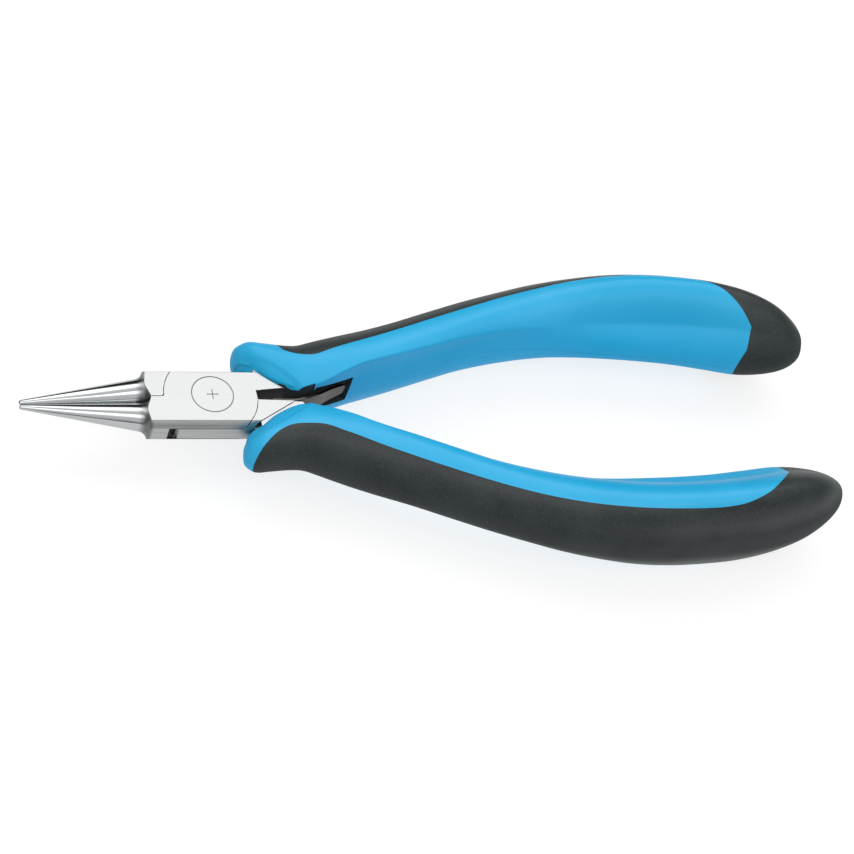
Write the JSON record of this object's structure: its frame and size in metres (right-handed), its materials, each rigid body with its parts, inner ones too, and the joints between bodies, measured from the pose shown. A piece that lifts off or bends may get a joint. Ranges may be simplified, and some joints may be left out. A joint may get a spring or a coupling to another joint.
{
  "type": "round nose pliers",
  "caption": "Small round nose pliers: two tapered round jaws, a flat box joint, a leaf spring and curved two-colour grips. The lower handle swings to open the jaws.",
  "frame": {"origin": "point on the pivot axis in the joint's lower flat face", "axes": "+Z along the pivot axis, out of the face that carries the mark; +X from the pivot towards the handle ends, so the jaws point along -X; +Y towards the upper handle"},
  "size_m": [0.1287, 0.0494, 0.0184],
  "materials": {
    "tool_steel": "joint faces ground with a fine lengthwise grain, jaws polished",
    "spring_steel": "plain rolled strip",
    "grip_core": "light blue, satin moulding",
    "grip_soft": "dark grey soft zone with a fine grain"
  },
  "bodies": {
    "outer_body": {"outer_half": "tool_steel", "pivot_pin": "tool_steel", "upper_grip_core": "grip_core", "upper_grip_soft": "grip_soft"},
    "inner_body": {"inner_half": "tool_steel", "leaf_spring": "spring_steel", "spring_rivet": "spring_steel", "lower_grip_core": "grip_core", "lower_grip_soft": "grip_soft"}
  },
  "joints": [
    {"name": "jaw_hinge", "type": "hinge", "parent": "outer_body", "child": "inner_body", "pos_m": [0, 0, 0.0025], "axis": [0, 0, -1], "range_deg": [0, 20], "stiffness_Nm_per_rad": 0.3, "springref_deg": 20.63, "deforming": ["leaf_spring"]}
  ]
}
